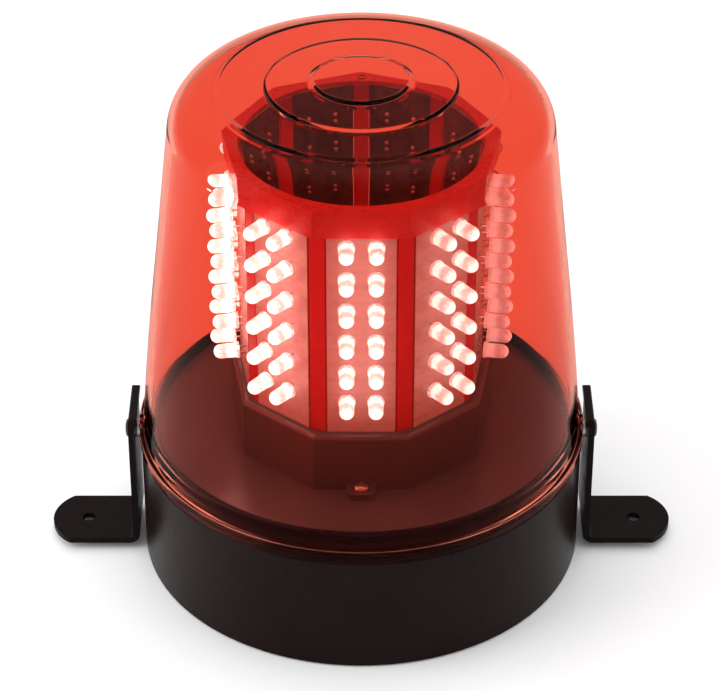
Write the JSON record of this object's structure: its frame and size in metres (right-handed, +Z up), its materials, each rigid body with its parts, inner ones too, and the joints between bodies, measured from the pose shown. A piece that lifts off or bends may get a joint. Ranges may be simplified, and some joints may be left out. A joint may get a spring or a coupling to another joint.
{
  "type": "rotating beacon",
  "caption": "Round warning beacon: clear red dome over a static faceted tower of LEDs that light in turn, on a black drum base held by two swinging side brackets.",
  "frame": {"origin": "centre of the underside, on the surface that the beacon stands on", "axes": "+X through the two fixing tabs, +Y to the back where the cable goes in, +Z up along the dome's axis"},
  "size_m": [0.2218, 0.156, 0.1852],
  "materials": {
    "housing_black": "semi-gloss moulded",
    "cover_black": "fine moulded grain",
    "tower_black": "gloss moulded",
    "dome_red": "clear red, polished",
    "bracket_black": "satin black paint on steel",
    "screw_steel": "zinc plated",
    "seal_rubber": "matt",
    "led_pcb": "white solder mask in front, dark behind",
    "led_clear": "water-clear epoxy, lit",
    "power_pcb": "green solder mask",
    "standoff_brass": "turned",
    "core_steel": "stacked laminations",
    "winding_tape": "yellow film tape",
    "capacitor_sleeve": "shrink sleeve",
    "terminal_green": "moulded",
    "fuse_glass": "glass tube",
    "chip_black": "moulded epoxy",
    "connector_white": "moulded",
    "wire_sleeve": "sleeved leads",
    "frame_red": "red moulded, satin",
    "strip_red": "translucent red moulded",
    "screw_black": "blackened steel"
  },
  "bodies": {
    "base": {"base_housing": "housing_black", "board_headers": "connector_white", "board_screws": "screw_steel", "board_standoffs": "standoff_brass", "bottom_cover": "cover_black", "bottom_cover_screws": "screw_steel", "cable_grommet": "seal_rubber", "capacitors": "capacitor_sleeve", "controller_chip": "chip_black", "dome_gasket": "seal_rubber", "fuse": "fuse_glass", "led_board_1": "led_pcb", "led_board_2": "led_pcb", "led_board_3": "led_pcb", "led_board_4": "led_pcb", "led_board_5": "led_pcb", "led_board_6": "led_pcb", "led_board_7": "led_pcb", "led_board_8": "led_pcb", "led_board_9": "led_pcb", "led_connector": "connector_white", "led_harness": "wire_sleeve", "leds_1": "led_clear", "leds_2": "led_clear", "leds_3": "led_clear", "leds_4": "led_clear", "leds_5": "led_clear", "leds_6": "led_clear", "leds_7": "led_clear", "leds_8": "led_clear", "leds_9": "led_clear", "mains_terminal": "terminal_green", "pedestal_screws": "screw_steel", "power_board": "power_pcb", "power_transistors": "chip_black", "side_screw_left": "screw_black", "side_screw_right": "screw_black", "side_spacer_left": "screw_steel", "side_spacer_right": "screw_steel", "tower_base_board": "led_pcb", "tower_pedestal": "tower_black", "tower_strips": "strip_red", "tower_top_ring": "frame_red", "transformer_coil": "winding_tape", "transformer_core": "core_steel"},
    "dome": {"dome": "dome_red"},
    "bracket_left": {"bracket_left": "bracket_black"},
    "bracket_right": {"bracket_right": "bracket_black"}
  },
  "joints": [
    {"name": "dome_lift", "type": "slide", "parent": "base", "child": "dome", "axis": [0, 0, 1], "range_m": [0, 0.12]},
    {"name": "bracket_left_swing", "type": "hinge", "parent": "base", "child": "bracket_left", "pos_m": [-0.0802, 0, 0.0442], "axis": [1, 0, 0], "range_deg": [-90, 90]},
    {"name": "bracket_right_swing", "type": "hinge", "parent": "base", "child": "bracket_right", "pos_m": [0.0802, 0, 0.0442], "axis": [1, 0, 0], "range_deg": [-90, 90]}
  ]
}
